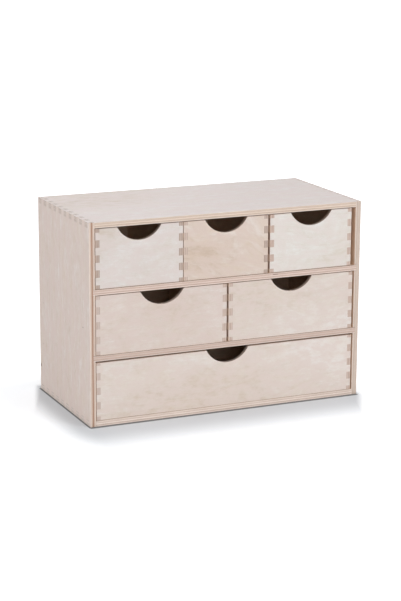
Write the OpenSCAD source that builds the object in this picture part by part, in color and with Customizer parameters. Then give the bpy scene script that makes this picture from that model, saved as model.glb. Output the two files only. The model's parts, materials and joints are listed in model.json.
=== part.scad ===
// Desktop chest of mini drawers in thin birch plywood.
// A case with two shelves holds three rows of open-topped drawers: three small ones,
// two medium ones and a wide one. The case corners and all drawer corners are finger
// joints, and a round thumb notch is cut into the top edge of each drawer front.
// Millimetres, +Z up, front towards -Y, origin under the middle of the case.

/* [Case] */
// Width of the case
case_w = 400; // [330:1:520]
// Depth of the case
case_d = 200; // [150:1:300]
// Clear height of each drawer bay
bay_h = 81.5; // [70:0.5:120]
// Thickness of the case boards and shelves
board_t = 8; // [6:0.5:12]
// Number of fingers that the top and bottom boards have at each end
case_fingers = 10; // [6:1:16]
// Depth of the housings in the side boards that hold the shelves
shelf_housing = 3; // [2:0.5:4.5]

/* [Back] */
// Thickness of the back panel
back_t = 3; // [2:0.5:5]
// How far the back panel laps over the case boards
back_lap = 4; // [3:0.5:5]
// Gap round the back panel in its rebate
back_fit = 0.25; // [0.1:0.05:0.5]
// Diameter of the shank of a panel pin
pin_d = 1.2; // [1:0.1:1.6]
// Diameter of the head of a panel pin
pin_head_d = 2.4; // [1.8:0.1:2.8]
// Thickness of the head of a panel pin
pin_head_t = 0.5; // [0.3:0.1:1]
// Length of a panel pin
pin_l = 14; // [10:1:18]
// Number of panel pins along each board
pins_across = 5; // [3:1:9]

/* [Drawers] */
// Thickness of the drawer fronts, backs and sides
drawer_t = 6; // [5:0.5:9]
// How far the drawer fronts sit behind the front edge of the case
drawer_recess = 1; // [0:0.5:5]
// Free space behind the drawers
gap_behind = 6; // [2:1:20]
// Gap above the small drawers
gap_above_top = 1.1; // [0.8:0.1:5]
// Gap above the medium drawers
gap_above_middle = 1.1; // [0.8:0.1:5]
// Gap above the wide drawer
gap_above_bottom = 2.3; // [0.8:0.1:5]
// Gap between the left side board and the first drawer of a row
gap_left = 1; // [0.3:0.1:2]
// Gap between the first two small drawers
gap_small_left = 0.8; // [0.5:0.1:4]
// Gap between the last two small drawers
gap_small_right = 3; // [0.5:0.1:4]
// Gap between the medium drawers
gap_medium = 3; // [0.5:0.1:4]
// Gap right of the last small drawer
gap_right_top = 6; // [1:0.5:10]
// Gap right of the last medium drawer
gap_right_middle = 2.5; // [1:0.5:10]
// Gap right of the wide drawer
gap_right_bottom = 2; // [1:0.5:10]

/* [Drawer joints] */
// Height of one finger
finger_h = 10; // [8:0.5:12]
// Height of the lowest finger of a side board
first_finger_h = 5.5; // [4:0.5:6]
// Number of fingers at each end of a front or back board
drawer_fingers = 4; // [3:1:4]

/* [Drawer bottoms] */
// Thickness of the drawer bottoms
bottom_t = 3; // [2:0.5:4]
// Height of the bottom's groove above the lower edge of the drawer
bottom_lift = 6; // [5:0.5:8]
// Depth of the groove in the drawer boards
groove_depth = 3; // [2:0.5:3.5]
// Gap above and at the edges of the bottom in its groove
groove_fit = 0.1; // [0.05:0.05:0.3]

/* [Thumb notches] */
// Width of a thumb notch along the top edge of the front
notch_w = 62; // [40:0.5:80]
// Depth of a thumb notch below the top edge of the front
notch_depth = 19; // [10:0.5:19.5]

/* [Hidden] */
row_counts = [3, 2, 1];
rows = len(row_counts);
gaps_above = [gap_above_top, gap_above_middle, gap_above_bottom];
gaps_between = [[gap_small_left, gap_small_right], [gap_medium], []];
gaps_right = [gap_right_top, gap_right_middle, gap_right_bottom];
drawer_names = [
    ["top_left", "top_middle", "top_right"],
    ["middle_left", "middle_right"],
    ["bottom_wide"]
];

front_y = -case_d / 2;
back_y = case_d / 2;
left_x = -case_w / 2;
inner_w = case_w - 2 * board_t;
case_h = rows * bay_h + (rows + 1) * board_t;
case_finger_w = case_d / (2 * case_fingers);
shelf_w = inner_w + 2 * shelf_housing;
board_depth = case_d - back_t;
back_w = inner_w + 2 * back_lap;
back_h = case_h - 2 * (board_t - back_lap);

drawer_depth = board_depth - drawer_recess - gap_behind;
groove_reach = groove_depth - groove_fit;
notch_r = (notch_w * notch_w / 4 + notch_depth * notch_depth) / (2 * notch_depth);

pin_x = inner_w / 2 + back_lap / 2;
pin_edge_z = board_t - back_lap / 2;
pin_sides = 16;
notch_sides = 96;
// How far a cutting shape runs past the face that it cuts
over = 1;

face_colour = [0.87, 0.83, 0.79];
case_colour = [0.85, 0.81, 0.78];
inside_colour = [0.80, 0.72, 0.63];
steel_colour = [0.62, 0.62, 0.63];

// Height of the floor of a row of drawers, where row 0 is the highest
function floor_z(row) = board_t + (rows - 1 - row) * (bay_h + board_t);

// Height of the drawers in a row
function drawer_h(row) = bay_h - gaps_above[row];

// Sum of the first few values of a list
function total(values, count) = count == 0 ? 0 : values[count - 1] + total(values, count - 1);

// Sum of the gaps left of a drawer in its row
function gaps_before(row, column) = gap_left + total(gaps_between[row], column);

// Width of each drawer in a row, which shares the inside of the case evenly
function drawer_w(row) =
    (inner_w - gaps_before(row, row_counts[row] - 1) - gaps_right[row]) / row_counts[row];

// Left face of a drawer
function drawer_x(row, column) = left_x + board_t + gaps_before(row, column) + column * drawer_w(row);

// ---- Finger joints, as flat shapes along the edge of a board ----

// The slots of one board of a joint: a row of squares along Y, cut in from X = 0
module slots(first, finger, count, depth) {
    for (i = [0 : count - 1])
        translate([-over, first + 2 * i * finger])
            square([depth + over, finger]);
}

// The slots of the other board: all that the first board's slots leave of the edge
module counter_slots(length, first, finger, count, depth) {
    difference() {
        translate([-over, -over])
            square([depth + over, length + 2 * over]);
        translate([-over, 0])
            slots(first, finger, count, depth + 2 * over);
    }
}

// Both ends of a board: the children as they are, and mirrored at the far end
module both_ends(length) {
    children();
    translate([length, 0])
        mirror([1, 0])
            children();
}

// ---- Case ----

// Recess round the opening at the rear, in which the back panel lies
module back_rebate() {
    translate([-back_w / 2 - back_fit, back_y - back_t, board_t - back_lap - back_fit])
        cube([back_w + 2 * back_fit, back_t + over, back_h + 2 * back_fit]);
}

// Top or bottom board, with fingers at both ends that pass through the side boards
module level_board(z) {
    difference() {
        translate([left_x, front_y, z])
            linear_extrude(board_t)
                difference() {
                    square([case_w, case_d]);
                    both_ends(case_w)
                        counter_slots(case_d, case_finger_w / 2, case_finger_w, case_fingers, board_t);
                }
        back_rebate();
    }
}

// Outline of a side board in the plane of its face, front edge at X = 0
module side_outline() {
    difference() {
        square([case_d, case_h]);
        for (z = [0, case_h])
            translate([0, z])
                mirror([0, z == 0 ? 0 : 1])
                    rotate(90)
                        mirror([0, 1])
                            slots(case_finger_w / 2, case_finger_w, case_fingers, board_t);
    }
}

// Left side board, with its shelf housings and the rebate for the back panel
module side_board() {
    difference() {
        translate([left_x, front_y, 0])
            rotate([90, 0, 90])
                linear_extrude(board_t)
                    side_outline();
        for (row = [0 : rows - 2])
            translate([-shelf_w / 2, front_y - over, floor_z(row) - board_t])
                cube([shelf_w, case_d + 2 * over, board_t]);
        back_rebate();
    }
}

// Shelf under a row of drawers, let into both side boards
module shelf(row) {
    translate([-shelf_w / 2, front_y, floor_z(row) - board_t])
        cube([shelf_w, board_depth, board_t]);
}

module case_top() {
    color(case_colour) level_board(case_h - board_t);
}

module case_bottom() {
    color(case_colour) level_board(0);
}

module case_side_left() {
    color(case_colour) side_board();
}

module case_side_right() {
    color(case_colour) mirror([1, 0, 0]) side_board();
}

module shelf_upper() {
    color(case_colour) shelf(0);
}

module shelf_lower() {
    color(case_colour) shelf(1);
}

module back_panel() {
    color(inside_colour)
        translate([-back_w / 2, back_y - back_t, board_t - back_lap])
            cube([back_w, back_t, back_h]);
}

// One panel pin, driven in towards -Y with its head flush with the back panel
module panel_pin(x, z) {
    translate([x, back_y, z])
        rotate([90, 0, 0]) {
            cylinder(h = pin_l, d = pin_d, $fn = pin_sides);
            cylinder(h = pin_head_t, d = pin_head_d, $fn = pin_sides);
        }
}

// Pins along the top, the bottom and each shelf, and one beside each bay
module back_pins() {
    board_z = [for (row = [0 : rows - 2]) floor_z(row) - board_t / 2];
    color(steel_colour) {
        for (z = concat([pin_edge_z, case_h - pin_edge_z], board_z), i = [0 : pins_across - 1])
            panel_pin(-pin_x + i * 2 * pin_x / (pins_across - 1), z);
        for (x = [-pin_x, pin_x], row = [0 : rows - 1])
            panel_pin(x, floor_z(row) + bay_h / 2);
    }
}

// ---- Drawers ----

// Space for the edges of a drawer's bottom in the boards round it
module bottom_groove(row) {
    translate([drawer_t - groove_depth, drawer_t - groove_depth, bottom_lift])
        cube([
            drawer_w(row) - 2 * (drawer_t - groove_depth),
            drawer_depth - 2 * (drawer_t - groove_depth),
            bottom_t + groove_fit
        ]);
}

// Circle that cuts the thumb notch, centred on the top edge of a front
module notch(row) {
    translate([drawer_w(row) / 2, drawer_h(row) - notch_depth + notch_r])
        circle(r = notch_r, $fn = notch_sides);
}

// Front or back board of a drawer, at the front of the drawer's own frame
module end_board(row, notched) {
    width = drawer_w(row);
    height = drawer_h(row);
    difference() {
        translate([0, drawer_t, 0])
            rotate([90, 0, 0])
                linear_extrude(drawer_t)
                    difference() {
                        square([width, height]);
                        both_ends(width)
                            counter_slots(height, first_finger_h, finger_h, drawer_fingers, drawer_t);
                        if (notched)
                            notch(row);
                    }
        bottom_groove(row);
    }
}

// Left side board of a drawer
module flank_board(row) {
    difference() {
        rotate([90, 0, 90])
            linear_extrude(drawer_t)
                difference() {
                    square([drawer_depth, drawer_h(row)]);
                    both_ends(drawer_depth)
                        slots(first_finger_h, finger_h, drawer_fingers, drawer_t);
                }
        bottom_groove(row);
    }
}

// Puts a piece drawn in the frame of a drawer in its place in the closed chest
module in_place(row, column) {
    translate([drawer_x(row, column), front_y + drawer_recess, floor_z(row)])
        children();
}

module drawer_front(row, column) {
    color(face_colour)
        in_place(row, column)
            end_board(row, true);
}

module drawer_back(row, column) {
    color(inside_colour)
        in_place(row, column)
            translate([0, drawer_depth, 0])
                mirror([0, 1, 0])
                    end_board(row, false);
}

module drawer_side_left(row, column) {
    color(inside_colour)
        in_place(row, column)
            flank_board(row);
}

module drawer_side_right(row, column) {
    color(inside_colour)
        in_place(row, column)
            translate([drawer_w(row), 0, 0])
                mirror([1, 0, 0])
                    flank_board(row);
}

// Thin bottom, held in the grooves of the four boards round it
module drawer_bottom(row, column) {
    inset = drawer_t - groove_reach;
    color(inside_colour)
        in_place(row, column)
            translate([inset, inset, bottom_lift])
                cube([drawer_w(row) - 2 * inset, drawer_depth - 2 * inset, bottom_t]);
}

// ---- Pieces ----

case_top();
case_bottom();
case_side_left();
case_side_right();
shelf_upper();
shelf_lower();
back_panel();
back_pins();

for (row = [0 : rows - 1], column = [0 : row_counts[row] - 1]) {
    name = drawer_names[row][column];
    drawer_front(row, column);
    drawer_back(row, column);
    drawer_side_left(row, column);
    drawer_side_right(row, column);
    drawer_bottom(row, column);
}
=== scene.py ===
"""Looks of a desktop chest of mini drawers in pale birch plywood.

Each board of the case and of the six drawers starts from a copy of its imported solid. Its
free arrises are eased, and its show face, its inner face and its cut edges get finishes of
their own, so that the growth lines run as they were cut and the plies show on every edge.
Fields ending in _mm are in millimetres, and everything else is in metres.
"""

import json
import logging
import math
from dataclasses import dataclass
from enum import Enum
from typing import Any, Callable, Iterator, Optional, Sequence, Union

import bmesh
import bpy
from mathutils import Matrix, Vector


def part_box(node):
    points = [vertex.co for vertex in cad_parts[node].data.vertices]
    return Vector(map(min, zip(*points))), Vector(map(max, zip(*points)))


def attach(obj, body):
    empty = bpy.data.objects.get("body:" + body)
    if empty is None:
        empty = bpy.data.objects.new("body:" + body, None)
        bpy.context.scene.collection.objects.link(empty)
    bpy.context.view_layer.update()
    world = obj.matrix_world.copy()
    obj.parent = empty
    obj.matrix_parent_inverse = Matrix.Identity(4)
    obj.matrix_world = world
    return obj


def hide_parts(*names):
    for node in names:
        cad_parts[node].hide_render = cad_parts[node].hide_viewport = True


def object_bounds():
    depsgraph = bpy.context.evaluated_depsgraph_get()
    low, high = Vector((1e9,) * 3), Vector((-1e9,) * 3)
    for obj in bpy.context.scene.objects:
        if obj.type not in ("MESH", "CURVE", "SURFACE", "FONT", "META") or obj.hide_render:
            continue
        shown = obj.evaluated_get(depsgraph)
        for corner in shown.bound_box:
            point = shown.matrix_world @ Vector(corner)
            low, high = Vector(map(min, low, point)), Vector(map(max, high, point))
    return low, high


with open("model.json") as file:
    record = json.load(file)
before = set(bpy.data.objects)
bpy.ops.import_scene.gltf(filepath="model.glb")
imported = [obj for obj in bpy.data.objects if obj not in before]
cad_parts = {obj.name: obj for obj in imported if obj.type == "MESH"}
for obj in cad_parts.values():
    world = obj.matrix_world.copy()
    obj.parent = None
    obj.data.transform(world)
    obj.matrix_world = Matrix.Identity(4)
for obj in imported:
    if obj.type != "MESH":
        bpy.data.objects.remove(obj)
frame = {"nodes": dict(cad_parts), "record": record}
CAD_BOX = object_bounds()

LOG = logging.getLogger("mini_drawers")
MM = 0.001
SAME_PLANE = 0.00002     # two faces this close lie in one plane
DEEP_MM = 60.0           # height of a noise feature that hardly changes through a board
MEAN_LEVEL = 0.69        # light level of a veneer that has its tone, from dark 0 to pale 1
Colour = tuple[float, float, float]
WHITE: Colour = (1.0, 1.0, 1.0)
BLACK: Colour = (0.0, 0.0, 0.0)


def paint(red: float, green: float, blue: float) -> Colour:
    """Turns a colour as it looks on a screen into the linear values that shaders use.

    Args:
        red: Red, from 0 to 255.
        green: Green, from 0 to 255.
        blue: Blue, from 0 to 255.

    Returns:
        The linear colour.
    """
    shares = (red / 255, green / 255, blue / 255)
    low, high = [s / 12.92 for s in shares], [((s + 0.055) / 1.055) ** 2.4 for s in shares]
    return tuple(a if s <= 0.04045 else b for s, a, b in zip(shares, low, high))


class Tint(Enum):
    """Shares of its red, green and blue that a linear tone keeps in a mark or a patch."""

    PALE_WOOD = (1.08, 1.11, 1.13)
    DEEP_WOOD = (0.86, 0.78, 0.69)
    TAN = (1.0, 0.94, 0.85)
    ROSE = (1.0, 0.945, 0.93)
    PORE = (0.6, 0.47, 0.38)
    KNOT = (0.2, 0.13, 0.09)
    PALE_PLY = (1.15, 1.15, 1.15)
    DEEP_PLY = (0.82, 0.78, 0.74)
    BROWN_PLY = (1.25, 1.2, 1.2)
    PIT = (0.45, 0.36, 0.3)
    # Painted shade of a gap in an inner ply.
    VOID_SHADE = (0.3, 0.26, 0.24)
    # Dark brown of the thumb notch's cut face, partly its raw cut tone and partly painted
    # shade, and painted crevice shade on arrises.
    SAWN_AND_SHADE = (0.42, 0.4, 0.37)
    # Painted contact shadow on the floor.
    CONTACT_SHADOW = (0.16, 0.15, 0.14)

    def of(self, tone: Colour) -> Colour:
        """Tints a linear colour."""
        return tuple(part * share for part, share in zip(tone, self.value))


# ---------------------------------------------------------------------------
# Shader maths
# ---------------------------------------------------------------------------


def node_method(operation: str, turned: bool = False) -> Callable[..., "Value"]:
    """Makes a method of Value that adds a Math node.

    Args:
        operation: The node's operation.
        turned: Whether the other value comes first.

    Returns:
        The method, which takes no value or one.
    """

    def method(self: "Value", *others: "Number") -> "Value":
        """Adds the node."""
        terms = (*others, self) if turned else (self, *others)
        return self.tree.maths(operation, *terms)

    return method


class Value:
    """One output of a shader node. Arithmetic on it adds Math nodes."""

    def __init__(self, tree: "Tree", socket: bpy.types.NodeSocket) -> None:
        """Holds a socket and the tree that it belongs to."""
        self.tree = tree
        self.socket = socket

    __add__ = __radd__ = node_method("ADD")
    __sub__, __rsub__ = node_method("SUBTRACT"), node_method("SUBTRACT", turned=True)
    __mul__ = __rmul__ = node_method("MULTIPLY")
    __truediv__ = node_method("DIVIDE")
    __mod__ = node_method("FLOORED_MODULO")     # the remainder, never negative
    __pow__ = node_method("POWER")
    floor = node_method("FLOOR")                # the whole number below
    size = node_method("ABSOLUTE")              # the value without its sign
    least = node_method("MINIMUM")              # the lesser of two values
    most = node_method("MAXIMUM")               # the greater of two values

    def step(self, start: float, end: float) -> "Value":
        """Goes smoothly from 0 at start to 1 at end, which may lie below start.

        Args:
            start: Where the result is 0.
            end: Where the result is 1.

        Returns:
            The smooth step.
        """
        rising = start < end
        limits = {"From Min": min(start, end), "From Max": max(start, end)}
        results = {"To Min": 0.0 if rising else 1.0, "To Max": 1.0 if rising else 0.0}
        settings = {"interpolation_type": "SMOOTHSTEP"}
        return self.tree.add(
            "ShaderNodeMapRange", settings, {"Value": self, **limits, **results}
        )


Number = Union[Value, float]
Feed = Union[Value, float, Sequence[float]]
Key = Union[str, int]    # name or number of a socket


class Tree:
    """The node tree of a material or of the world, built by expressions."""

    def __init__(self, owner: Union[bpy.types.Material, bpy.types.World]) -> None:
        """Empties the owner's tree."""
        owner.use_nodes = True
        self.owner = owner
        self.nodes = owner.node_tree.nodes
        self.links = owner.node_tree.links
        self.nodes.clear()

    def add(
        self,
        kind: str,
        settings: Optional[dict[str, Any]] = None,
        inputs: Optional[dict[Key, Feed]] = None,
        output: Key = 0,
    ) -> Value:
        """Adds one node of any type.

        Args:
            kind: The node's type.
            settings: Its properties, set first. "stops" is a ramp's list of (place, grey).
            inputs: Values or links of its sockets, by name or number.
            output: The output that is wanted.

        Returns:
            That output.
        """
        node = self.nodes.new(kind)
        for name, value in (settings or {}).items():
            if name == "stops":
                self.set_stops(node.color_ramp, value)
            else:
                setattr(node, name, value)
        for name, value in (inputs or {}).items():
            socket = node.inputs[name]
            if isinstance(value, Value):
                self.links.new(value.socket, socket)
            elif socket.type == "RGBA":
                socket.default_value = (*value, 1.0)
            else:
                socket.default_value = value
        return Value(self, node.outputs[output])

    @staticmethod
    def set_stops(ramp: bpy.types.ColorRamp, stops: Sequence[tuple[float, float]]) -> None:
        """Makes a grey ramp that jumps at each stop.

        Args:
            ramp: The ramp.
            stops: Place and grey level of each stop, in order.
        """
        ramp.interpolation = "CONSTANT"
        while len(ramp.elements) < len(stops):
            ramp.elements.new(1.0)
        for element, (place, grey) in zip(ramp.elements, stops):
            element.position = place
            element.color = (grey, grey, grey, 1.0)

    def maths(self, operation: str, *terms: Number) -> Value:
        """Adds a Math node."""
        return self.add("ShaderNodeMath", {"operation": operation}, dict(enumerate(terms)))

    def blend(self, share: Number, first: Feed, second: Feed) -> Value:
        """Mixes two colours: the first where share is 0, the second where it is 1."""
        settings = {"data_type": "RGBA", "clamp_factor": True}
        return self.add("ShaderNodeMix", settings, {0: share, 6: first, 7: second}, 2)

    def attribute(self, name: str) -> Value:
        """Reads a number that each face of the mesh holds."""
        return self.add("ShaderNodeAttribute", {"attribute_name": name}, output="Fac")

    def noise(self, place: Value, detail: float, rough: float) -> Value:
        """A noise texture with a mean of about 0.5.

        Args:
            place: Where it is read, as a vector in which one unit is one feature.
            detail: Number of finer layers.
            rough: Strength of the finer layers.

        Returns:
            The noise.
        """
        inputs = {"Vector": place, "Scale": 1.0, "Detail": detail, "Roughness": rough}
        return self.add("ShaderNodeTexNoise", {"noise_dimensions": "3D"}, inputs)

    def bump(self, height: Value, depth_mm: float) -> Value:
        """Turns a height from 0 to 1 into a normal."""
        inputs = {"Height": height, "Strength": 1.0, "Distance": depth_mm * MM}
        return self.add("ShaderNodeBump", None, inputs)

    def surface(
        self, colour: Feed, roughness: Feed, normal: Value, fixed: dict[str, Feed]
    ) -> bpy.types.Material:
        """Ends the tree in a Principled shader.

        Args:
            colour: Base colour.
            roughness: Roughness.
            normal: Normal with the bump in it.
            fixed: The other inputs.

        Returns:
            The material.
        """
        inputs = {"Base Color": colour, "Roughness": roughness, "Normal": normal, **fixed}
        self.show(self.add("ShaderNodeBsdfPrincipled", None, inputs), "Material")
        return self.owner

    def show(self, shader: Value, kind: str) -> None:
        """Joins a shader to the output node of a material or world."""
        end = self.nodes.new("ShaderNodeOutput" + kind)
        self.links.new(shader.socket, end.inputs["Surface"])

    def outputs(
        self, kind: str, inputs: Optional[dict[Key, Feed]] = None
    ) -> Callable[[Key], Value]:
        """Adds a node with several outputs, which are taken by name or number.

        Args:
            kind: The node's type.
            inputs: Values or links of its sockets.

        Returns:
            A function from the name or number of an output to its value.
        """
        sockets = self.add(kind, None, inputs).socket.node.outputs
        return lambda key: Value(self, sockets[key])


# ---------------------------------------------------------------------------
# How boards lie, and where a point is on its board
# ---------------------------------------------------------------------------


class Lay(Enum):
    """Axes of a board: through its thickness, along its grain, and across the grain."""

    LEVEL = (2, 0, 1)
    UPRIGHT = (0, 2, 1)
    FRONTAL = (1, 0, 2)
    FLANK = (0, 1, 2)

    @property
    def through(self) -> int:
        """Axis of the thickness."""
        return self.value[0]

    @property
    def along(self) -> int:
        """Axis of the grain of the face veneers, at whose ends the fingers are."""
        return self.value[1]


@dataclass(frozen=True)
class Grain:
    """A point's place along, across and through a board, in millimetres of the row frame."""

    tree: Tree
    through: Value
    along: Value
    across: Value
    seed: float

    @classmethod
    def of(cls, tree: Tree, lay: Lay, seed: float) -> "Grain":
        """Reads the place from Object coordinates.

        Args:
            tree: The material's tree.
            lay: How the board lies.
            seed: A number of the veneer's own, which shifts its pattern.

        Returns:
            The place on the board.
        """
        place = tree.add("ShaderNodeTexCoord", output="Object")
        part = tree.outputs("ShaderNodeSeparateXYZ", {0: place})
        return cls(tree, *[part(axis) / MM for axis in lay.value], seed)

    def at(
        self,
        along_mm: float,
        across_mm: float,
        through_mm: float = DEEP_MM,
        shift: Optional[Value] = None,
    ) -> Value:
        """A vector in which one unit is a feature of this size.

        Args:
            along_mm: Length of a feature along the grain.
            across_mm: Width of a feature across it.
            through_mm: Height of a feature through the board.
            shift: A further move across the grain, in millimetres.

        Returns:
            The vector, moved to the board's own part of the pattern.
        """
        across = self.across if shift is None else self.across + shift
        parts = (
            self.along / along_mm + self.seed * 17.3,
            across / across_mm + self.seed * 5.9,
            self.through / through_mm + self.seed * 11.1,
        )
        return self.tree.add("ShaderNodeCombineXYZ", None, dict(enumerate(parts)))


class Pattern(Enum):
    """Noise layers: a feature's length, width and height in mm, detail and roughness."""

    FLAME = (95.0, 60.0, DEEP_MM, 1.0, 0.5)
    CURL = (38.0, 7.0, DEEP_MM, 2.0, 0.5)
    STREAK = (110.0, 3.0, DEEP_MM, 3.0, 0.55)
    FIBRE = (19.0, 0.4, DEEP_MM, 3.0, 0.6)
    CLOUD = (42.0, 25.0, DEEP_MM, 3.0, 0.5)
    MOTTLE = (12.0, 6.5, DEEP_MM, 3.0, 0.72)
    FLECK = (7.0, 0.9, DEEP_MM, 2.0, 0.5)
    PORE = (3.2, 0.26, DEEP_MM, 1.0, 0.5)
    TAN = (46.0, 24.0, 9.0, 3.0, 0.6)
    ROSE = (18.0, 9.0, 7.0, 3.0, 0.6)
    KNOT_RIM = (1.6, 1.2, DEEP_MM, 1.0, 0.5)
    PLY_SWAY = (40.0, 40.0, 30.0, 1.0, 0.5)
    PLY_RUN = (34.0, 34.0, 0.3, 2.0, 0.6)
    PLY_GRIT = (0.55, 0.55, 0.4, 2.0, 0.6)
    PLY_PATCH = (24.0, 24.0, 2.6, 2.0, 0.5)
    GLUE_BREAK = (6.0, 6.0, 1.5, 2.0, 0.5)
    TARNISH = (1.1, 1.1, 1.1, 3.0, 0.5)
    SCRATCH = (0.9, 0.05, 0.9, 2.0, 0.5)
    FLOOR_SHEEN = (30.0, 30.0, DEEP_MM, 2.0, 0.5)
    FLOOR_SPECK = (1.2, 1.2, DEEP_MM, 2.0, 0.5)

    def on(self, grain: Grain, shift: Optional[Value] = None) -> Value:
        """Reads the layer on a board.

        Args:
            grain: The place on the board.
            shift: A further move across the grain, in millimetres.

        Returns:
            The noise, with a mean of about 0.5.
        """
        *size_mm, detail, rough = self.value
        return grain.tree.noise(grain.at(*size_mm, shift), detail, rough)


@dataclass(frozen=True)
class Knot:
    """A small knot or dark mark on a face, at a place in the row frame.

    Attributes:
        along_mm: Place of its middle along the grain.
        across_mm: Place of its middle across the grain.
        radius_mm: Half of its width.
        strength: Darkness of its middle, from 0 to 1.
        stretch: Its length in shares of its width.
    """

    along_mm: float
    across_mm: float
    radius_mm: float
    strength: float = 0.6
    stretch: float = 1.5

    def mask(self, grain: Grain) -> Value:
        """Strength of the mark at each point, with a ragged outline."""
        along, across = grain.along - self.along_mm, grain.across - self.across_mm
        far = ((along / self.stretch) ** 2.0 + across ** 2.0) ** 0.5
        ragged = (Pattern.KNOT_RIM.on(grain) - 0.5) * (self.radius_mm * 0.9)
        return (far + ragged).step(self.radius_mm, self.radius_mm * 0.3) * self.strength


@dataclass(frozen=True)
class Shade:
    """A broad patch of a face that is paler or darker, at a place in the row frame.

    Attributes:
        along_mm: Place of its middle along the grain.
        across_mm: Place of its middle across the grain.
        long_mm: Half of its length along the grain.
        wide_mm: Half of its width across the grain.
        change: Change of the light level in its middle.
    """

    along_mm: float
    across_mm: float
    long_mm: float
    wide_mm: float
    change: float

    def mask(self, grain: Grain, swing: Value) -> Value:
        """Change of the light level at each point, which fades towards the patch's rim."""
        along = (grain.along - self.along_mm) / self.long_mm
        across = (grain.across + swing - self.across_mm) / self.wide_mm
        return (along ** 2.0 + across ** 2.0).step(1.0, 0.0) * self.change


@dataclass(frozen=True)
class Void:
    """A gap in an inner ply, shown as a short dark line of painted shade on the cut edge.

    Attributes:
        along_mm: Place of its middle along the edge, in the row frame.
        length_mm: Its length.
        depth_mm: How far it lies above the lower face of the board.
    """

    along_mm: float
    length_mm: float
    depth_mm: float

    def mask(self, grain: Grain, low_mm: float) -> Value:
        """1 in the gap and 0 outside it."""
        half = self.length_mm / 2
        run = (grain.along - self.along_mm).size().step(half, half - 1.5)
        return run * (grain.through - (low_mm + self.depth_mm)).size().step(0.5, 0.3)


# ---------------------------------------------------------------------------
# Finishes
# ---------------------------------------------------------------------------


@dataclass(frozen=True)
class Veneer:
    """Sanded face veneer of rotary-cut birch.

    Attributes:
        tone: Mean colour.
        figure: Strength of the growth lines.
        figure_mm: Length and width of the broad shapes that the growth lines follow.
        rings: Number of growth lines that the broad shapes are cut into.
        flame: How far the growth lines swing across the grain, in millimetres.
        slant: How steeply the growth lines cross the grain.
        cloud: Strength of the broad light and dark patches.
        mottle: Strength of the small light and dark patches.
        warm: Strength of the tan patches.
        streaks: Strength of the streaks along the grain.
        fibres: Strength of the fine lines along the grain.
        flecks: Strength of the short dark flecks.
        pores: Strength of the pores.
        rosy: Strength of the rose patches.
        bump_mm: Depth of the fibres and pores.
        gloss: Strength of the mirror part of the light.
        shades: Patches of this one face.
    """

    tone: Colour
    figure: float = 0.22
    figure_mm: tuple[float, float] = (240.0, 62.0)
    rings: float = 8.0
    flame: float = 6.0
    slant: float = 0.0
    cloud: float = 0.4
    mottle: float = 1.05
    warm: float = 0.5
    streaks: float = 0.4
    fibres: float = 0.65
    flecks: float = 0.2
    pores: float = 0.26
    rosy: float = 0.8
    bump_mm: float = 0.05
    gloss: float = 0.35
    shades: tuple[Shade, ...] = ()

    def material(
        self, name: str, lay: Lay, seed: float, knots: Sequence[Knot] = ()
    ) -> bpy.types.Material:
        """Makes the material for one face of a board.

        Args:
            name: Name of the material.
            lay: How the board lies.
            seed: The veneer's own number.
            knots: Marks on this face.

        Returns:
            The material.
        """
        tree = Tree(bpy.data.materials.new(name))
        grain = Grain.of(tree, lay, seed)

        wave = (Pattern.FLAME.on(grain) - 0.5) * (self.flame * 4.0)
        swing = wave + grain.along * self.slant
        slow = tree.noise(grain.at(*self.figure_mm, shift=swing), 1.5, 0.45)
        ring = (slow * self.rings + Pattern.CURL.on(grain, swing) * 0.45) % 1.0
        late = ring.step(0.35, 0.86) * ring.step(1.0, 0.86)
        streak = Pattern.STREAK.on(grain, swing * 0.5) - 0.5
        fibre = Pattern.FIBRE.on(grain) - 0.5
        cloud = Pattern.CLOUD.on(grain, swing) - 0.5
        mottle = Pattern.MOTTLE.on(grain, swing) - 0.5
        fleck = Pattern.FLECK.on(grain).step(0.62, 0.78)
        pore = Pattern.PORE.on(grain).step(0.64, 0.76)
        tan = Pattern.TAN.on(grain, swing).step(0.36, 0.66)
        rose = Pattern.ROSE.on(grain, swing).step(0.38, 0.62)

        level = MEAN_LEVEL + streak * self.streaks + fibre * self.fibres + cloud * self.cloud
        level = level + mottle * self.mottle - late * self.figure - fleck * self.flecks
        for shade in self.shades:
            level = level + shade.mask(grain, wave * 0.5)
        colour = tree.blend(level, Tint.DEEP_WOOD.of(self.tone), Tint.PALE_WOOD.of(self.tone))
        marks = [
            (tan * self.warm, Tint.TAN),
            (rose * self.rosy, Tint.ROSE),
            (pore * self.pores, Tint.PORE),
            *[(knot.mask(grain), Tint.KNOT) for knot in knots],
        ]
        for mask, tint in marks:
            colour = tree.blend(mask, colour, tint.of(self.tone))

        height = 0.6 + fibre * 0.9 - pore * 0.45 - late * 0.12
        roughness = 0.62 + fibre * 0.2 + pore * 0.12 - late * 0.05
        bump = tree.bump(height, self.bump_mm)
        return tree.surface(colour, roughness, bump, {"Specular IOR Level": self.gloss})


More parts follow.
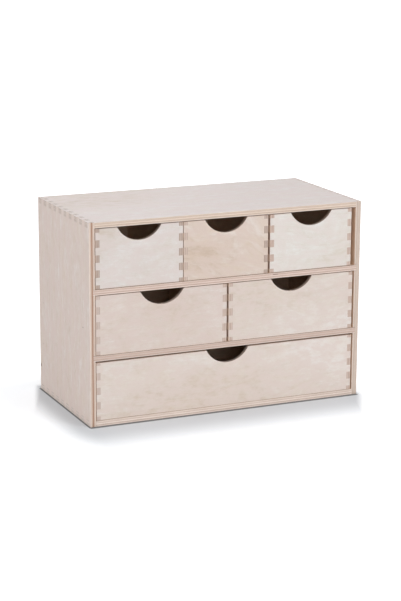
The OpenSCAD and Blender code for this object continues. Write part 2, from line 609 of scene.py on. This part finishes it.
@dataclass(frozen=True)
class PlyEdge:
    """Cut edge of plywood, on which the plies show in turn from the side and from the end.

    Attributes:
        plies: Number of plies.
        side: Colour of a ply that is cut along its grain.
        end: Colour of the ends of the fingers.
        cross: Colour of a crossing ply between two that are cut along their grain.
        glue: Colour of the glue lines.
        spread: How much the plies differ from each other.
        sawn_and_painted_shade: Strength of the dark brown on the thumb notch's cut face,
            partly its raw cut tone and partly painted shade, and of the painted crevice shade
            on arrises by the drawers.
        bump_mm: Depth of the fibres and glue lines.
        gloss: Strength of the mirror part of the light.
    """

    plies: int
    side: Colour
    end: Colour
    cross: Colour = paint(190, 163, 148)
    glue: Colour = paint(146, 108, 86)
    spread: float = 0.12
    sawn_and_painted_shade: float = 0.7
    bump_mm: float = 0.07
    gloss: float = 0.3

    def levels(self, seed: float, chosen: Sequence[float]) -> list[tuple[float, float]]:
        """Light level of each ply, from the lower face of the board.

        Args:
            seed: The board's own number.
            chosen: Levels from 0, a dark ply, to 1. If there are none, the seed sets them.

        Returns:
            Stops for a ramp.
        """
        drawn = [0.5 + 0.35 * math.sin(seed * 12.9 + ply * 4.1) for ply in range(self.plies)]
        return [(ply / self.plies, level) for ply, level in enumerate(chosen or drawn)]

    def material(
        self,
        name: str,
        lay: Lay,
        seed: float,
        span_mm: tuple[float, float],
        chosen: Sequence[float] = (),
        voids: Sequence[Void] = (),
    ) -> bpy.types.Material:
        """Makes the material for the edges of one board.

        Args:
            name: Name of the material.
            lay: How the board lies.
            seed: The board's own number.
            span_mm: Lowest place through the board, and its thickness.
            chosen: Levels of the plies, or none.
            voids: Gaps in the plies.

        Returns:
            The material.
        """
        tree = Tree(bpy.data.materials.new(name))
        grain = Grain.of(tree, lay, seed)
        low, thick = span_mm
        sway = (Pattern.PLY_SWAY.on(grain) - 0.5) * 0.2
        depth = (grain.through - low + sway) / thick
        layer = depth * self.plies
        ply = layer % 1.0
        odd = layer.floor() % 2.0
        cut = tree.attribute("end_grain")
        end = cut + odd * (0.5 - cut * 0.9)

        run = Pattern.PLY_RUN.on(grain) - 0.5
        grit = Pattern.PLY_GRIT.on(grain) - 0.5
        patch = Pattern.PLY_PATCH.on(grain) - 0.5
        stops = self.levels(seed, chosen)
        ramp = tree.add("ShaderNodeValToRGB", {"stops": stops}, {0: depth})
        texture = run * 0.6 * (1.0 - end) + grit * end
        level = 0.5 + texture * 0.9 + patch * 0.6 + (ramp - 0.5) * (self.spread * 4.0)

        side, cross, tip = (
            tree.blend(level, Tint.DEEP_PLY.of(tone), Tint.PALE_PLY.of(tone))
            for tone in (self.side, self.cross, self.end)
        )
        across = tree.blend(odd * 0.7, side, cross)
        colour = tree.blend(cut, across, tree.blend(odd * 0.4, tip, side))
        brown = ramp.step(0.12, 0.0) * (0.85 - cut * 0.65)
        inside = layer.step(0.3, 0.6) * layer.step(self.plies - 0.3, self.plies - 0.6)
        line = ply.least(1.0 - ply) * (thick / self.plies)
        broken = Pattern.GLUE_BREAK.on(grain).step(0.34, 0.6)
        glue = line.step(0.12, 0.03) * inside * (0.2 + broken * 0.4)
        pit = grit.step(0.1, 0.22) * end
        # Painted shade: the notch's cut face darkens, partly for its raw cut tone and partly
        # as painted shade, and so do the arrises by the drawers' crevices.
        sawn_and_shade_mask = tree.attribute("sawn_and_painted_shade")
        marks = [
            (brown, Tint.BROWN_PLY.of(self.glue)),
            (glue, self.glue),
            (pit * 0.35, Tint.PIT.of(self.end)),
            *[(void.mask(grain, low) * 0.8, Tint.VOID_SHADE.of(self.glue)) for void in voids],
            (sawn_and_shade_mask * self.sawn_and_painted_shade, Tint.SAWN_AND_SHADE.of(self.end)),
        ]
        for mask, tone in marks:
            colour = tree.blend(mask, colour, tone)

        height = 0.6 + texture * 0.7 - glue * 0.5 - pit * 0.3
        roughness = 0.68 + texture * 0.16 + glue * 0.08
        bump = tree.bump(height, self.bump_mm)
        return tree.surface(colour, roughness, bump, {"Specular IOR Level": self.gloss})


@dataclass(frozen=True)
class Steel:
    """Bright drawn steel of the panel pins, with a trace of tarnish."""

    bright: Colour = paint(196, 196, 198)
    dull: Colour = paint(128, 122, 116)

    def material(self, name: str) -> bpy.types.Material:
        """Makes the material."""
        tree = Tree(bpy.data.materials.new(name))
        grain = Grain.of(tree, Lay.FRONTAL, 3.0)
        tarnish, scratch = Pattern.TARNISH.on(grain), Pattern.SCRATCH.on(grain)
        colour = tree.blend(tarnish.step(0.4, 0.72), self.bright, self.dull)
        roughness = 0.26 + tarnish * 0.22 + scratch * 0.12
        return tree.surface(colour, roughness, tree.bump(scratch, 0.01), {"Metallic": 1.0})


INNER_FACE = Veneer(paint(238, 215, 195), warm=0.25)
CASE_INNER = Veneer(paint(228, 201, 177), warm=0.25)
TOP_EDGE = PlyEdge(5, paint(222, 206, 191), paint(213, 199, 192), paint(205, 183, 168))
UPPER_EDGE = PlyEdge(5, paint(226, 208, 199), paint(188, 162, 150))
LOWER_EDGE = PlyEdge(5, paint(214, 197, 188), paint(188, 162, 150))
FLANK_EDGE = PlyEdge(5, paint(222, 206, 193), paint(206, 199, 198), paint(196, 172, 158))
BASE_EDGE = PlyEdge(5, paint(237, 223, 214), paint(217, 206, 200), paint(208, 188, 176))
RIGHT_EDGE = PlyEdge(5, paint(207, 194, 183), paint(219, 210, 207), paint(204, 182, 168))
DRAWER_EDGE = PlyEdge(5, paint(226, 210, 199), paint(195, 174, 163))
DARK_EDGE = PlyEdge(5, paint(224, 210, 201), paint(175, 155, 144))
WARM_EDGE = PlyEdge(5, paint(226, 210, 199), paint(191, 167, 155))
SOFT_EDGE = PlyEdge(5, paint(226, 210, 199), paint(200, 183, 175))
THIN_EDGE = PlyEdge(3, paint(226, 208, 190), paint(190, 162, 144))


# ---------------------------------------------------------------------------
# Boards
# ---------------------------------------------------------------------------


def link_mesh(name: str, shape: bmesh.types.BMesh) -> bpy.types.Object:
    """Turns a finished bmesh into an object at the origin, and frees it.

    Args:
        name: Name of the object.
        shape: The bmesh.

    Returns:
        The object.
    """
    mesh = bpy.data.meshes.new(name)
    shape.to_mesh(mesh)
    shape.free()
    if mesh.has_custom_normals:
        mesh.attributes.remove(mesh.attributes["custom_normal"])
    piece = bpy.data.objects.new(name, mesh)
    bpy.context.scene.collection.objects.link(piece)
    return piece


def merged_copy(node: str) -> bmesh.types.BMesh:
    """Copies a node's loose triangles to a bmesh, and makes its faces whole again.

    Args:
        node: Name of the node.

    Returns:
        The bmesh.
    """
    shape = bmesh.new()
    shape.from_mesh(frame["nodes"][node].data)
    bmesh.ops.remove_doubles(shape, verts=shape.verts, dist=1e-6)
    bmesh.ops.dissolve_limit(
        shape, angle_limit=math.radians(1.0), verts=shape.verts, edges=shape.edges
    )
    return shape


@dataclass(frozen=True)
class Hull:
    """A box in the row frame."""

    low: Vector
    high: Vector

    @classmethod
    def round_nodes(cls, nodes: Sequence[str]) -> "Hull":
        """The box round some nodes."""
        boxes = [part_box(node) for node in nodes]
        low = Vector([min(box[0][axis] for box in boxes) for axis in range(3)])
        high = Vector([max(box[1][axis] for box in boxes) for axis in range(3)])
        return cls(low, high)

    def carries(self, face: bmesh.types.BMFace, axis: Optional[int] = None) -> bool:
        """Tells whether a face lies on the outside of the box.

        Args:
            face: The face.
            axis: The only axis that counts, or None for any.

        Returns:
            True where it does.
        """
        centre = face.calc_center_median()
        for number in range(3) if axis is None else (axis,):
            if abs(face.normal[number]) > 0.999:
                wall = self.high if face.normal[number] > 0 else self.low
                return abs(centre[number] - wall[number]) < SAME_PLANE
        return False


class Cut(Enum):
    """Number of the material on each kind of face of a board."""

    SHOW = 0
    INNER = 1
    EDGE = 2


@dataclass(frozen=True)
class Board:
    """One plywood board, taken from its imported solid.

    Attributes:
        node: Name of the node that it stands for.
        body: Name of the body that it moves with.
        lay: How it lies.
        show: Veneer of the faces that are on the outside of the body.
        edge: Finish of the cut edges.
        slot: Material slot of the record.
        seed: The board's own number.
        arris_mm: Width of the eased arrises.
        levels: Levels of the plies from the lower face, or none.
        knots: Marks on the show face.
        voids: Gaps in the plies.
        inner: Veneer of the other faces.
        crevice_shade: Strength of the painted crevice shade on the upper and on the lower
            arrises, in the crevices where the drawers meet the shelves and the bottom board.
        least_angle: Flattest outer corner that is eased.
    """

    node: str
    body: str
    lay: Lay
    show: Veneer
    edge: PlyEdge
    slot: str
    seed: float
    arris_mm: float = 0.45
    levels: tuple[float, ...] = ()
    knots: tuple[Knot, ...] = ()
    voids: tuple[Void, ...] = ()
    inner: Veneer = INNER_FACE
    crevice_shade: tuple[float, float] = (0.0, 0.0)
    least_angle: float = math.radians(30)

    def build(self, hull: Hull) -> bpy.types.Object:
        """Makes the board and puts it in place of its node.

        Args:
            hull: Box round the whole body.

        Returns:
            The board.
        """
        shape = merged_copy(self.node)
        end_grain = shape.faces.layers.float.new("end_grain")
        sawn_and_painted_shade = shape.faces.layers.float.new("sawn_and_painted_shade")
        own = Hull(*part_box(self.node))
        free = [edge for edge in shape.edges if self.is_free(edge, hull, own)]
        eased = self.ease(shape, free)
        for face in shape.faces:
            face[end_grain] = face.normal[self.lay.along] ** 2
            face.smooth = face in eased or self.is_curved(face)
            # The thumb notch's cut face gets a dark brown that is partly raw cut tone and
            # partly painted shade; eased arrises by the drawers get painted crevice shade.
            face[sawn_and_painted_shade] = self.crevice_shade_of(face) if face in eased else float(face.smooth)
            unshaded_arris = face in eased and not face[sawn_and_painted_shade]
            face.material_index = self.kind(face, hull, own, unshaded_arris).value
        return self.dress(link_mesh(self.node + "_board", shape), own)

    @staticmethod
    def is_curved(face: bmesh.types.BMFace) -> bool:
        """Tells whether a face is part of a thumb notch or of a rounded arris."""
        return max(abs(part) for part in face.normal) < 0.9999

    def is_free(self, edge: bmesh.types.BMEdge, hull: Hull, own: Hull) -> bool:
        """Tells whether an edge is a free arris, and not part of a joint or of a groove.

        Args:
            edge: The edge.
            hull: Box round the whole body.
            own: Box round the board.

        Returns:
            True where a maker would ease it.
        """
        faces = list(edge.link_faces)
        if len(faces) != 2 or edge.calc_face_angle_signed(0.0) < self.least_angle:
            return False
        for one, other in (faces, reversed(faces)):
            main = own.carries(other, self.lay.through)
            if self.is_curved(one) and (main or hull.carries(other)):
                return True
            if hull.carries(one) and hull.carries(other):
                return True
            if hull.carries(one) and main and abs(one.normal[self.lay.along]) < 0.5:
                return True
        return False

    def ease(
        self, shape: bmesh.types.BMesh, arrises: Sequence[bmesh.types.BMEdge]
    ) -> set[bmesh.types.BMFace]:
        """Rounds the free arrises.

        Args:
            shape: The board.
            arrises: The edges to round.

        Returns:
            The new faces.
        """
        if not arrises:
            return set()
        done = bmesh.ops.bevel(
            shape,
            geom=arrises,
            offset=self.arris_mm * MM,
            offset_type="OFFSET",
            affect="EDGES",
            segments=3,
            profile=0.5,
            clamp_overlap=True,
            material=-1,
        )
        shape.normal_update()
        return set(done["faces"])

    def crevice_shade_of(self, face: bmesh.types.BMFace) -> float:
        """Strength of the painted crevice shade on one face of an eased arris."""
        upper, lower = self.crevice_shade
        return upper if face.normal.z > 0.1 else lower if face.normal.z < -0.1 else 0.0

    def kind(self, face: bmesh.types.BMFace, hull: Hull, own: Hull, unshaded_arris: bool) -> Cut:
        """Sorts a face by what was cut to make it.

        Args:
            face: The face.
            hull: Box round the whole body.
            own: Box round the board.
            unshaded_arris: Whether it is part of an eased arris without painted crevice
                shade.

        Returns:
            Show face, inner face or cut edge.
        """
        if own.carries(face, self.lay.through):
            return Cut.SHOW if hull.carries(face) else Cut.INNER
        return Cut.SHOW if unshaded_arris and abs(face.normal[self.lay.through]) > 0.1 else Cut.EDGE

    def dress(self, piece: bpy.types.Object, own: Hull) -> bpy.types.Object:
        """Gives the board its finishes and its place in the frame.

        Args:
            piece: The board's object.
            own: Box round the board.

        Returns:
            The board.
        """
        through = self.lay.through
        span = (own.low[through] / MM, (own.high[through] - own.low[through]) / MM)
        name, lay, seed = self.node, self.lay, self.seed
        finishes = (
            self.show.material(name + "_show", lay, seed, self.knots),
            self.inner.material(name + "_inner", lay, seed + 0.37),
            self.edge.material(name + "_edge", lay, seed, span, self.levels, self.voids),
        )
        for finish in finishes:
            piece.data.materials.append(finish)
        return settle(piece, self.body, self.slot, self.node)


def settle(piece: bpy.types.Object, body: str, slot: str, node: str) -> bpy.types.Object:
    """Puts a piece in place of its node, and reports it.

    Args:
        piece: The piece.
        body: Body that it moves with.
        slot: Material slot of the record; not used.
        node: Node that it stands for.

    Returns:
        The piece.
    """
    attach(piece, body)
    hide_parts(node)
    LOG.info("%s: %d faces, on %s", piece.name, len(piece.data.polygons), body)
    return piece


# ---------------------------------------------------------------------------
# Sub-assemblies
# ---------------------------------------------------------------------------


@dataclass
class Case:
    """The case: four finger-jointed boards, two shelves, and a back held by pins.

    Attributes:
        body: Name of its body.
        slot: Material slot of its boards.
        arris_mm: Width of the eased arrises.
        pin_head_mm: Radius of a pin's head.
        pin_shank_mm: Radius of its shank.
        pin_length_mm: Length of a pin.
        pin_head_deep_mm: How deep the underside of a head lies.
        pin_point_mm: Length of the point.
        pin_sunk_mm: How far the middle of a head lies under the back.
        recess_mm: Radius of the dent round a head.
        recess_depth_mm: Depth of the dent.
        top: Veneer of the top.
        flank: Veneer of the sides.
        base: Veneer of the underside.
        rear: Veneer of the back.
        left_levels: Levels of the plies of the left side.
        left_marks: Marks on the left side.
        shelf_voids: Gaps in a ply of the upper shelf.
        shelf_crevice_shade: Strength of the painted crevice shade on the arrises of the
            shelves.
        base_crevice_shade: Strength of the painted crevice shade on the arrises of the bottom
            board.
    """

    body: str = "case"
    slot: str = "case_ply"
    arris_mm: float = 0.5
    pin_head_mm: float = 1.2
    pin_shank_mm: float = 0.6
    pin_length_mm: float = 14.0
    pin_head_deep_mm: float = 0.5
    pin_point_mm: float = 1.6
    pin_sunk_mm: float = 0.1
    recess_mm: float = 1.35
    recess_depth_mm: float = 0.35
    top: Veneer = Veneer(
        paint(222, 215, 214), figure=0.1, cloud=0.3, mottle=0.8, warm=0.3, streaks=0.4,
        shades=(Shade(-170.0, 70.0, 190.0, 110.0, -0.46),),
    )
    flank: Veneer = Veneer(
        paint(225, 212, 205), figure=0.2, cloud=0.5, mottle=1.4, warm=0.4, streaks=0.9
    )
    base: Veneer = Veneer(paint(221, 209, 199))
    rear: Veneer = Veneer(paint(221, 207, 192), figure=0.35, cloud=1.0)
    left_levels: tuple[float, ...] = (0.7, 0.65, 0.0, 0.6, 0.6)
    left_marks: tuple[Knot, ...] = (
        Knot(131.3, -74.5, 2.6, 0.6, 0.45),
        Knot(128.5, 85.0, 1.3, 0.35),
        Knot(69.5, 85.0, 1.2, 0.3),
        Knot(35.8, 99.0, 5.0, 1.0, 0.8),
    )
    shelf_voids: tuple[Void, ...] = (Void(70.0, 9.0, 5.6),)
    # Painted crevice shade on the upper arrises of the shelves and of the bottom board, under
    # the drawer fronts.
    shelf_crevice_shade: tuple[float, float] = (1.3, 0.0)
    base_crevice_shade: tuple[float, float] = (0.5, 0.0)

    def boards(self) -> Iterator[Board]:
        """Lists the boards, with what is particular to each."""
        plan: tuple[tuple[str, Lay, Veneer, PlyEdge, dict[str, Any]], ...] = (
            ("case_top", Lay.LEVEL, self.top, TOP_EDGE, {}),
            ("case_bottom", Lay.LEVEL, self.base, BASE_EDGE, {"crevice_shade": self.base_crevice_shade}),
            (
                "case_side_left", Lay.UPRIGHT, self.flank, FLANK_EDGE,
                {"levels": self.left_levels, "knots": self.left_marks},
            ),
            ("case_side_right", Lay.UPRIGHT, self.flank, RIGHT_EDGE, {}),
            (
                "shelf_upper", Lay.LEVEL, self.base, UPPER_EDGE,
                {"voids": self.shelf_voids, "crevice_shade": self.shelf_crevice_shade},
            ),
            ("shelf_lower", Lay.LEVEL, self.base, LOWER_EDGE, {"crevice_shade": self.shelf_crevice_shade}),
        )
        for number, (node, lay, show, edge, extra) in enumerate(plan):
            yield Board(
                node, self.body, lay, show, edge, self.slot, 1.0 + number, self.arris_mm,
                inner=CASE_INNER, **extra,
            )
        yield Board(
            "back_panel", self.body, Lay.FRONTAL, self.rear, THIN_EDGE, "thin_ply", 7.0,
            inner=CASE_INNER,
        )

    def pin_places(self) -> list[Vector]:
        """Finds the middle of each pin's head from the separate solids of its node."""
        shape = merged_copy("back_pins")
        left = set(shape.verts)
        places = []
        while left:
            island, front = [], [left.pop()]
            while front:
                vert = front.pop()
                island.append(vert.co.copy())
                near = {edge.other_vert(vert) for edge in vert.link_edges} & left
                left -= near
                front.extend(near)
            spans = [[point[axis] for point in island] for axis in range(3)]
            middle = [(min(span) + max(span)) / 2 for span in spans]
            places.append(Vector((middle[0], max(spans[1]), middle[2])))
        shape.free()
        return sorted(places, key=lambda place: (round(place.z, 4), place.x))

    def pins(self, places: Sequence[Vector]) -> bpy.types.Object:
        """Turns the pins, with rounded heads and pointed shanks.

        Args:
            places: Middle of each head.

        Returns:
            One piece with all the pins.
        """
        head, shank, sunk = self.pin_head_mm, self.pin_shank_mm, self.pin_sunk_mm
        profile = (
            (0.0, sunk), (head * 0.75, sunk + 0.02), (head * 0.94, sunk + 0.08),
            (head, sunk + 0.18), (head * 0.96, sunk + 0.32), (shank, self.pin_head_deep_mm),
            (shank, self.pin_length_mm - self.pin_point_mm), (0.0, self.pin_length_mm),
        )
        shape = bmesh.new()
        for place in places:
            verts = [
                shape.verts.new(place + Vector((radius * MM, -depth * MM, 0.0)))
                for radius, depth in profile
            ]
            edges = [shape.edges.new(pair) for pair in zip(verts, verts[1:])]
            bmesh.ops.spin(
                shape, geom=verts + edges, cent=place, axis=(0.0, 1.0, 0.0),
                angle=math.tau, steps=18, use_merge=True,
            )
        bmesh.ops.remove_doubles(shape, verts=shape.verts, dist=1e-6)
        bmesh.ops.recalc_face_normals(shape, faces=shape.faces)
        for face in shape.faces:
            face.smooth = True
        for edge in shape.edges:
            edge.smooth = edge.calc_face_angle(0.0) < math.radians(50)
        piece = link_mesh("back_pin_set", shape)
        piece.data.materials.append(Steel().material("pin_steel"))
        return settle(piece, self.body, "pin_steel", "back_pins")

    def sink(self, panel: bpy.types.Object, places: Sequence[Vector]) -> None:
        """Cuts the dent round each pin's head into the back panel.

        Args:
            panel: The back panel.
            places: Middle of each head.
        """
        cutter = bmesh.new()
        radius, depth = self.recess_mm * MM, self.recess_depth_mm * MM
        for place in places:
            turn = Matrix.Translation(place) @ Matrix.Rotation(math.radians(90), 4, "X")
            bmesh.ops.create_cone(
                cutter, cap_ends=True, segments=20, radius1=radius, radius2=radius * 0.9,
                depth=depth * 2, matrix=turn,
            )
        tool = link_mesh("recess_cutter", cutter)
        cut = panel.modifiers.new("recesses", "BOOLEAN")
        cut.operation, cut.solver, cut.object = "DIFFERENCE", "EXACT", tool
        view = bpy.context.evaluated_depsgraph_get()
        panel.data = bpy.data.meshes.new_from_object(panel.evaluated_get(view))
        panel.modifiers.clear()
        bpy.data.objects.remove(tool)

    def build(self) -> None:
        """Makes the boards, then the pins and their dents in the back panel."""
        hull = Hull.round_nodes(frame["record"]["behaviour"]["bodies"][self.body])
        pieces = {board.node: board.build(hull) for board in self.boards()}
        places = self.pin_places()
        self.sink(pieces["back_panel"], places)
        self.pins(places)


@dataclass
class Drawer:
    """One drawer: a front with a thumb notch, a back, two sides and a thin bottom.

    Attributes:
        name: First part of its nodes' names.
        seed: The drawer's own number.
        front: Veneer of the front.
        edges: Finish of the left side's cut edges, the front's and the back's, and of the
            right side's.
        arris_mm: Width of the eased arrises.
        crevice_shade: Strength of the painted crevice shade on the lower arrises.
        side: Veneer of the other boards' outer faces.
    """

    name: str
    seed: float
    front: Veneer
    edges: tuple[PlyEdge, PlyEdge]
    arris_mm: float = 0.4
    crevice_shade: float = 1.1
    side: Veneer = Veneer(paint(226, 208, 192))

    def boards(self) -> Iterator[Board]:
        """Lists the boards of the drawer."""
        left, right = self.edges
        plan = (
            ("front", Lay.FRONTAL, self.front, left, "front_ply"),
            ("back", Lay.FRONTAL, self.side, left, "drawer_ply"),
            ("side_left", Lay.FLANK, self.side, left, "drawer_ply"),
            ("side_right", Lay.FLANK, self.side, right, "drawer_ply"),
            ("bottom", Lay.LEVEL, INNER_FACE, THIN_EDGE, "thin_ply"),
        )
        for number, (part, lay, show, edge, slot) in enumerate(plan):
            yield Board(
                f"{self.name}_{part}", self.body, lay, show, edge, slot,
                self.seed + number * 1.31, self.arris_mm, crevice_shade=(0.0, self.crevice_shade),
            )

    @property
    def body(self) -> str:
        """Name of the drawer's body."""
        return "drawer_" + self.name

    def build(self) -> None:
        """Makes the boards."""
        hull = Hull.round_nodes(frame["record"]["behaviour"]["bodies"][self.body])
        for board in self.boards():
            board.build(hull)


DRAWERS = (
    Drawer(
        "top_left", 10.0,
        Veneer(
            paint(217, 210, 206), figure=0.14, warm=0.2,
            shades=(Shade(-188.0, 256.0, 60.0, 36.0, -0.28),),
        ),
        (DARK_EDGE, DARK_EDGE),
    ),
    Drawer(
        "top_middle", 17.0,
        Veneer(
            paint(214, 200, 190), figure=0.3, figure_mm=(120.0, 42.0), rings=7.0, flame=16.0,
            slant=0.3, cloud=0.5, mottle=1.7, warm=0.6,
            shades=(
                Shade(15.0, 266.0, 110.0, 38.0, 0.42), Shade(64.0, 215.0, 54.0, 50.0, 0.2),
                Shade(-58.0, 220.0, 84.0, 34.0, -0.38),
            ),
        ),
        (DRAWER_EDGE, DARK_EDGE),
    ),
    Drawer(
        "top_right", 24.0,
        Veneer(
            paint(221, 216, 211), figure=0.14, flame=12.0, warm=0.15,
            shades=(Shade(175.0, 200.0, 48.0, 50.0, -0.28),),
        ),
        (WARM_EDGE, DRAWER_EDGE),
    ),
    Drawer(
        "middle_left", 31.0,
        Veneer(
            paint(216, 204, 197), figure=0.16, warm=0.3,
            shades=(
                Shade(-70.0, 145.0, 80.0, 50.0, -0.15), Shade(-6.0, 145.0, 40.0, 50.0, 0.2),
            ),
        ),
        (SOFT_EDGE, DRAWER_EDGE),
    ),
    Drawer(
        "middle_right", 38.0,
        Veneer(
            paint(218, 208, 201), figure=0.2, warm=0.3,
            shades=(
                Shade(10.0, 165.0, 110.0, 56.0, -0.28), Shade(145.0, 100.0, 100.0, 50.0, 0.3),
            ),
        ),
        (DRAWER_EDGE, DRAWER_EDGE),
    ),
    Drawer(
        "bottom_wide", 45.0,
        Veneer(
            paint(220, 210, 203), figure=0.2, warm=0.3,
            shades=(
                Shade(-25.0, 10.0, 180.0, 62.0, -0.36), Shade(185.0, 80.0, 140.0, 64.0, 0.36),
            ),
        ),
        (SOFT_EDGE, DRAWER_EDGE),
    ),
)


# ---------------------------------------------------------------------------
# Studio
# ---------------------------------------------------------------------------


@dataclass(frozen=True)
class Lamp:
    """A square soft box that faces a point on the chest.

    Attributes:
        name: Its name.
        place: Where it hangs.
        size: Its width.
        watts: Its power.
        aim: The point that it faces.
    """

    name: str
    place: tuple[float, float, float]
    size: float
    watts: float
    aim: tuple[float, float, float] = (0.0, 0.0, 0.14)

    def build(self) -> None:
        """Hangs the lamp."""
        light = bpy.data.lights.new(self.name, "AREA")
        light.shape, light.size, light.energy = "SQUARE", self.size, self.watts
        holder = bpy.data.objects.new(self.name, light)
        bpy.context.scene.collection.objects.link(holder)
        way = Vector(self.aim) - Vector(self.place)
        turn = way.to_track_quat("-Z", "Y").to_matrix().to_4x4()
        holder.matrix_world = Matrix.Translation(self.place) @ turn


@dataclass
class Studio:
    """Camera, lamps, a white surround and a pale floor.

    Attributes:
        lens_mm: Focal length.
        sensor_mm: Width of the sensor.
        clip: Nearest and furthest distance that the camera sees.
        place: Place of the camera.
        yaw_deg: Turn of the camera to the right.
        pitch_deg: Tilt of the camera down.
        roll_deg: Turn of the camera about its line of sight.
        ambient: Strength of the even light from all round.
        floor_size: Width of the floor.
        floor_colour: Colour of the floor.
        contact_shadow_mm: How far from the chest the painted contact shadow on the floor
            starts and ends to show.
        contact_shadow_share: Strength of that painted shadow.
        squeeze: How many times faster the shade fades at the left, at the right and behind.
        glow: Strength of the painted glow, white light that the floor gives off to the camera
            only, near the chest and further off.
        glow_mm: How far from the chest the near part of that glow starts and is whole.
        far_glow_mm: How far from the chest the far part of that glow is whole.
        rim_run: Slope of the lines past which the shade ends, at the left and at the right.
        rim_fall: How fast it ends there.
        rim_start_mm: How much nearer it ends at the right.
        lamps: The lamps.
    """

    lens_mm: float = 110.2
    sensor_mm: float = 36.0
    clip: tuple[float, float] = (0.05, 60.0)
    place: tuple[float, float, float] = (-1.0167, -2.2854, 0.7447)
    yaw_deg: float = 24.048
    pitch_deg: float = 13.764
    roll_deg: float = -0.277
    ambient: float = 0.42
    floor_size: float = 24.0
    floor_colour: Colour = paint(217, 220, 224)
    contact_shadow_mm: tuple[float, float] = (6.4, 4.6)
    contact_shadow_share: float = 0.8
    squeeze: tuple[float, float, float] = (2.2, 16.0, 5.0)
    glow: tuple[float, float] = (0.45, 0.4)
    glow_mm: tuple[float, float] = (22.0, 115.0)
    far_glow_mm: float = 600.0
    rim_run: tuple[float, float] = (0.342, 0.557)
    rim_fall: tuple[float, float] = (8.0, 5.0)
    rim_start_mm: float = 15.0
    lamps: tuple[Lamp, ...] = (
        Lamp("key", (1.2, -2.0, 1.2), 1.3, 22.0),
        Lamp("fill", (-2.15, -0.35, 1.05), 1.3, 16.5),
        Lamp("frontal", (-0.6, -2.6, 0.8), 0.9, 14.0),
        Lamp("overhead", (0.3, 0.15, 2.1), 1.5, 8.4),
        Lamp("rear", (0.7, 2.4, 0.3), 0.7, 9.0),
    )

    def camera(self) -> None:
        """Sets the camera where the photograph was taken."""
        turns = (self.yaw_deg, self.pitch_deg, self.roll_deg)
        yaw, pitch, roll = (math.radians(turn) for turn in turns)
        level = Vector((math.cos(yaw), -math.sin(yaw), 0.0))
        ahead = Vector((math.sin(yaw), math.cos(yaw), 0.0)) * math.cos(pitch)
        ahead.z = -math.sin(pitch)
        down = ahead.cross(level)
        right = level * math.cos(roll) + down * math.sin(roll)
        below = down * math.cos(roll) - level * math.sin(roll)
        lens = bpy.data.cameras.new("camera")
        lens.sensor_fit = "AUTO"
        lens.lens, lens.sensor_width = self.lens_mm, self.sensor_mm
        lens.clip_start, lens.clip_end = self.clip
        holder = bpy.data.objects.new("camera", lens)
        bpy.context.scene.collection.objects.link(holder)
        turn = Matrix((right, -below, -ahead)).transposed().to_4x4()
        holder.matrix_world = Matrix.Translation(self.place) @ turn
        bpy.context.scene.camera = holder

    def surround(self) -> None:
        """Lights the chest evenly from all round, and shows white behind it."""
        world = bpy.data.worlds.new("surround")
        bpy.context.scene.world = world
        tree = Tree(world)
        ray = tree.outputs("ShaderNodeLightPath")
        seen = ray("Is Camera Ray").most(ray("Is Glossy Ray"))
        seen = seen.most(ray("Is Transmission Ray"))
        even = tree.add("ShaderNodeBackground", None, {0: WHITE, 1: self.ambient})
        white = tree.add("ShaderNodeBackground", None, {0: WHITE, 1: 1.0})
        both = tree.add("ShaderNodeMixShader", None, {0: seen, 1: even, 2: white})
        tree.show(both, "World")

    def floor(self) -> None:
        """Lays the floor, which keeps the shadow by the chest, darkened at its foot by a
        painted contact shadow, and turns white further off by a painted glow.
        """
        shape = bmesh.new()
        bmesh.ops.create_grid(shape, x_segments=1, y_segments=1, size=self.floor_size / 2)
        piece = link_mesh("floor", shape)
        tree = Tree(bpy.data.materials.new("floor"))
        grain = Grain.of(tree, Lay.LEVEL, 9.0)
        low, high = ([corner[axis] / MM for axis in range(2)] for corner in CAD_BOX)
        left, right, behind = self.squeeze
        width = ((low[0] - grain.along) * left).most((grain.along - high[0]) * right)
        depth = (low[1] - grain.across).most((grain.across - high[1]) * behind)
        width, depth = width.most(0.0), depth.most(0.0)
        far = (width ** 2.0 + depth ** 2.0) ** 0.5

        # Painted glow: the floor gives off white light to the camera only, more with distance
        # from the chest and past lines from its rear left and front right corners, so that
        # the real shadow fades out.
        past_left = (grain.across - high[1]) * self.rim_run[0] - (grain.along - low[0])
        past_right = (low[1] - grain.across) * self.rim_run[1] + (grain.along - high[0])
        rim_left = past_left * self.rim_fall[0]
        rim_right = past_right * self.rim_fall[1] + self.rim_start_mm
        start, end = self.glow_mm
        near = far.most(rim_left.most(rim_right) + start).step(start, end)
        glow = near * self.glow[0] + far.step(end, self.far_glow_mm) * self.glow[1]
        glow = glow * tree.outputs("ShaderNodeLightPath")("Is Camera Ray")
        # Painted contact shadow: the floor's colour darkens within a few millimetres of the
        # chest's foot.
        contact_shadow = far.step(*self.contact_shadow_mm) * self.contact_shadow_share
        colour = tree.blend(contact_shadow, self.floor_colour, Tint.CONTACT_SHADOW.of(self.floor_colour))
        matt = 0.8 + Pattern.FLOOR_SHEEN.on(grain) * 0.1
        speck = tree.bump(Pattern.FLOOR_SPECK.on(grain), 0.01)
        fixed = {
            "Specular IOR Level": 0.0,
            "Emission Color": tree.blend(glow, BLACK, WHITE),
            "Emission Strength": 1.0,
        }
        piece.data.materials.append(tree.surface(colour, matt, speck, fixed))

    def build(self) -> None:
        """Sets up the studio."""
        self.camera()
        self.surround()
        self.floor()
        for lamp in self.lamps:
            lamp.build()
        bpy.context.scene.view_settings.view_transform = "Standard"


def main() -> None:
    """Builds the studio, the case and the drawers."""
    logging.basicConfig(level=logging.INFO, format="%(name)s: %(message)s")
    Studio().build()
    Case().build()
    for drawer in DRAWERS:
        drawer.build()


if __name__ == "__main__":
    main()
